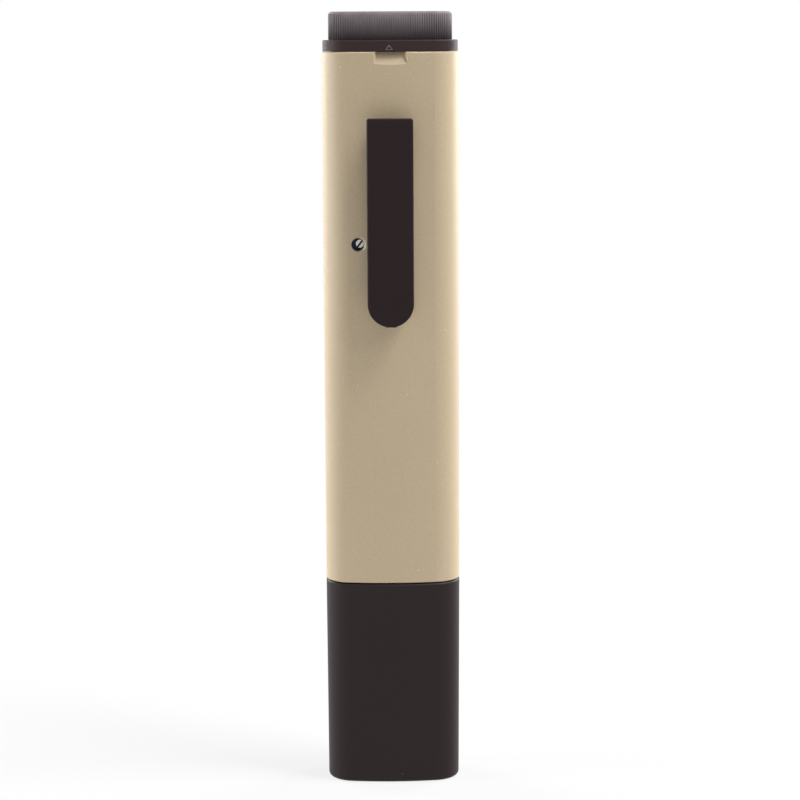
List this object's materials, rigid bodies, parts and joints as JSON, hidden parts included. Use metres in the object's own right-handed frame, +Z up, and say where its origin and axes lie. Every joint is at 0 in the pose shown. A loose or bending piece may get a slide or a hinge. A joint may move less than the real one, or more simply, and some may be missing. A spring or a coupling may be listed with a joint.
{
  "type": "conductivity tester pen",
  "caption": "Hand-held conductivity tester pen standing on its probe cap, with a pocket clip, a ribbed battery cap, a calibration hole, push buttons, a display and recessed electrodes.",
  "frame": {"origin": "centre of the probe cap's flat foot, on which the pen stands", "axes": "+Z up the pen, from the probe cap's foot to the battery cap; +Y out of the display and buttons; -Y out of the pocket clip and calibration hole; +X to the right of one who looks at the clip side"},
  "size_m": [0.027, 0.0204, 0.155],
  "materials": {
    "body_shell": "satin, fine grain",
    "dark_cap": "satin",
    "dark_grip": "matte, finely ribbed",
    "clip_plastic": "matte",
    "button_plastic": "satin",
    "inner_plastic": "matte",
    "clear_window": "clear, glossy",
    "lcd": "grey-green, smooth",
    "seal_rubber": "matte",
    "zebra_rubber": "matte",
    "board": "green solder mask",
    "chip_plastic": "matte",
    "ceramic": "satin ceramic",
    "spring_metal": "plated",
    "cell_steel": "bright nickel",
    "screw_metal": "bright",
    "pin_steel": "polished",
    "trimmer_plastic": "satin",
    "trimmer_metal": "plated"
  },
  "bodies": {
    "pen_body": {"rear_shell": "body_shell", "front_shell": "body_shell", "display_window": "clear_window", "lcd_panel": "lcd", "lcd_holder": "inner_plastic", "lower_zebra_strip": "zebra_rubber", "upper_zebra_strip": "zebra_rubber", "circuit_board": "board", "board_screws": "screw_metal", "main_chip": "chip_plastic", "crystal": "cell_steel", "resistors": "chip_plastic", "capacitors": "ceramic", "switch_housings": "chip_plastic", "switch_domes": "spring_metal", "trimmer_base": "trimmer_plastic", "negative_contact": "spring_metal", "positive_contact": "spring_metal", "bridge_contact": "spring_metal", "clip_root": "clip_plastic", "probe_housing": "inner_plastic", "neck_seal": "seal_rubber", "left_electrode": "pin_steel", "right_electrode": "pin_steel", "left_pin_seal": "seal_rubber", "right_pin_seal": "seal_rubber", "temperature_sensor": "seal_rubber"},
    "battery_unit": {"battery_cap": "dark_grip", "battery_seal": "seal_rubber", "battery_tray": "inner_plastic", "lower_cell": "cell_steel", "upper_cell": "cell_steel"},
    "cap": {"probe_cap": "dark_cap"},
    "clip": {"clip_blade": "clip_plastic"},
    "power_key": {"power_button": "button_plastic", "power_plunger": "inner_plastic"},
    "hold_key": {"hold_button": "button_plastic", "hold_plunger": "inner_plastic"},
    "unit_key": {"unit_button": "button_plastic", "unit_plunger": "inner_plastic"},
    "trimmer": {"trimmer_screw": "trimmer_metal"}
  },
  "joints": [
    {"name": "battery_cap_pull", "type": "slide", "parent": "pen_body", "child": "battery_unit", "axis": [0, 0, 1], "range_m": [0, 0.036]},
    {"name": "probe_cap_pull", "type": "slide", "parent": "pen_body", "child": "cap", "axis": [0, 0, -1], "range_m": [0, 0.036]},
    {"name": "clip_flex", "type": "hinge", "parent": "pen_body", "child": "clip", "pos_m": [-0.00025, -0.0118, 0.12405], "axis": [-1, 0, 0], "range_deg": [0, 6], "stiffness_Nm_per_rad": 1.2},
    {"name": "power_press", "type": "slide", "parent": "pen_body", "child": "power_key", "axis": [0, -1, 0], "range_m": [0, 0.0003], "stiffness_N_per_m": 5000},
    {"name": "hold_press", "type": "slide", "parent": "pen_body", "child": "hold_key", "axis": [0, -1, 0], "range_m": [0, 0.0003], "stiffness_N_per_m": 5000},
    {"name": "unit_press", "type": "slide", "parent": "pen_body", "child": "unit_key", "axis": [0, -1, 0], "range_m": [0, 0.0003], "stiffness_N_per_m": 5000},
    {"name": "trimmer_turn", "type": "hinge", "parent": "pen_body", "child": "trimmer", "pos_m": [-0.00622, -0.0047, 0.1097], "axis": [0, -1, 0], "range_deg": [-135, 135]}
  ]
}
